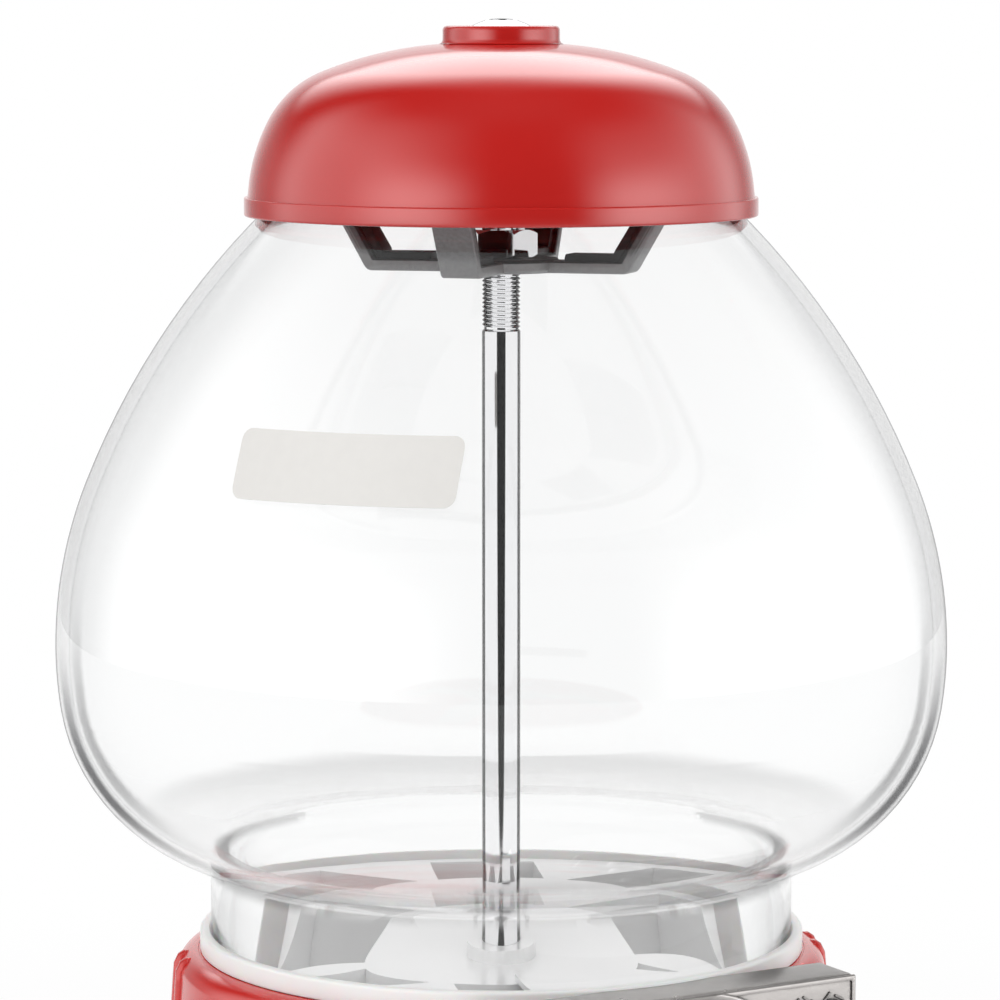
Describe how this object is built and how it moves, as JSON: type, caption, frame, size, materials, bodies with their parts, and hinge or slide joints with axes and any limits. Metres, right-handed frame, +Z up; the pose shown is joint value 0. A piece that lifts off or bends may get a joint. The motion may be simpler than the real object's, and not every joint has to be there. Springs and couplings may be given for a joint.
{
  "type": "gumball machine",
  "caption": "Countertop gumball machine: flared cast base with a coin mechanism and door, glass globe clamped by a centre rod, domed lid with a lock.",
  "frame": {"origin": "on the floor, on the centre rod's axis", "axes": "+Z up along the centre rod; -Y is the front, with the handle and the door; +X is to the right as seen from the front"},
  "size_m": [0.22, 0.22, 0.3811],
  "materials": {
    "red_paint": "glossy red enamel on die-cast metal",
    "lid_paint": "glossy red enamel on spun steel",
    "clear_glass": "clear glass",
    "chrome_rod": "polished chrome plate",
    "chrome_lock": "polished chrome plate",
    "bright_steel": "bright zinc plate",
    "sheet_steel": "galvanised sheet",
    "cast_aluminium": "as-cast aluminium",
    "antique_silver": "antiqued nickel on die-cast metal",
    "polished_wheel": "spun and polished",
    "white_collar": "translucent white plastic",
    "label_film": "blank label film",
    "brass": "turned brass",
    "nylon": "natural nylon",
    "black_rubber": "black rubber"
  },
  "bodies": {
    "base": {"base_body": "red_paint", "rubber_feet": "black_rubber", "bottom_plate": "sheet_steel", "base_washer": "bright_steel", "base_nut": "bright_steel", "hopper_pan": "sheet_steel", "pan_screws": "bright_steel", "pan_nut": "bright_steel", "thrust_washer": "nylon", "globe_collar": "white_collar", "outlet_guard": "sheet_steel", "globe": "clear_glass", "label": "label_film", "clamp_spider": "cast_aluminium", "clamp_nut": "bright_steel", "centre_rod": "chrome_rod", "front_casting": "antique_silver", "casting_screws": "bright_steel", "coin_face": "antique_silver", "face_screws": "bright_steel", "mech_back": "sheet_steel", "mech_posts": "bright_steel", "pawl_pin": "bright_steel", "chute": "sheet_steel", "chute_screws": "bright_steel", "door_pin": "bright_steel", "pawl_spring": "bright_steel"},
    "lid": {"lid": "lid_paint", "lock_sleeve": "bright_steel", "lock_nut": "brass"},
    "lock": {"lock_barrel": "chrome_lock"},
    "wheel": {"dispensing_wheel": "polished_wheel", "wheel_bush": "bright_steel"},
    "handle": {"handle": "chrome_lock", "handle_shaft": "bright_steel", "coin_carrier": "brass", "ratchet_wheel": "bright_steel", "shaft_spacer": "bright_steel", "drive_pinion": "brass", "shaft_clip": "bright_steel"},
    "pawl": {"pawl": "bright_steel"},
    "door": {"chute_door": "antique_silver"}
  },
  "joints": [
    {"name": "lid_lift", "type": "slide", "parent": "base", "child": "lid", "axis": [0, 0, 1], "range_m": [0, 0.06]},
    {"name": "lock_turn", "type": "hinge", "parent": "lid", "child": "lock", "pos_m": [0, 0, 0.37], "axis": [0, 0, 1], "range_deg": [0, 90]},
    {"name": "handle_turn", "type": "hinge", "parent": "base", "child": "handle", "pos_m": [0, -0.0876, 0.12002], "axis": [0, 1, 0], "continuous": true},
    {"name": "wheel_turn", "type": "hinge", "parent": "base", "child": "wheel", "pos_m": [0, 0, 0.14], "axis": [0, 0, 1], "continuous": true},
    {"name": "pawl_swing", "type": "hinge", "parent": "base", "child": "pawl", "pos_m": [0.02459, -0.0783, 0.11716], "axis": [0, 1, 0], "range_deg": [-8, 4], "stiffness_Nm_per_rad": 0.03},
    {"name": "door_swing", "type": "hinge", "parent": "base", "child": "door", "pos_m": [0, -0.08634, 0.0722], "axis": [-1, 0, 0], "range_deg": [0, 70]}
  ],
  "couplings": [
    {"joint": "wheel_turn", "follows": "handle_turn", "ratio": 0.16667}
  ]
}
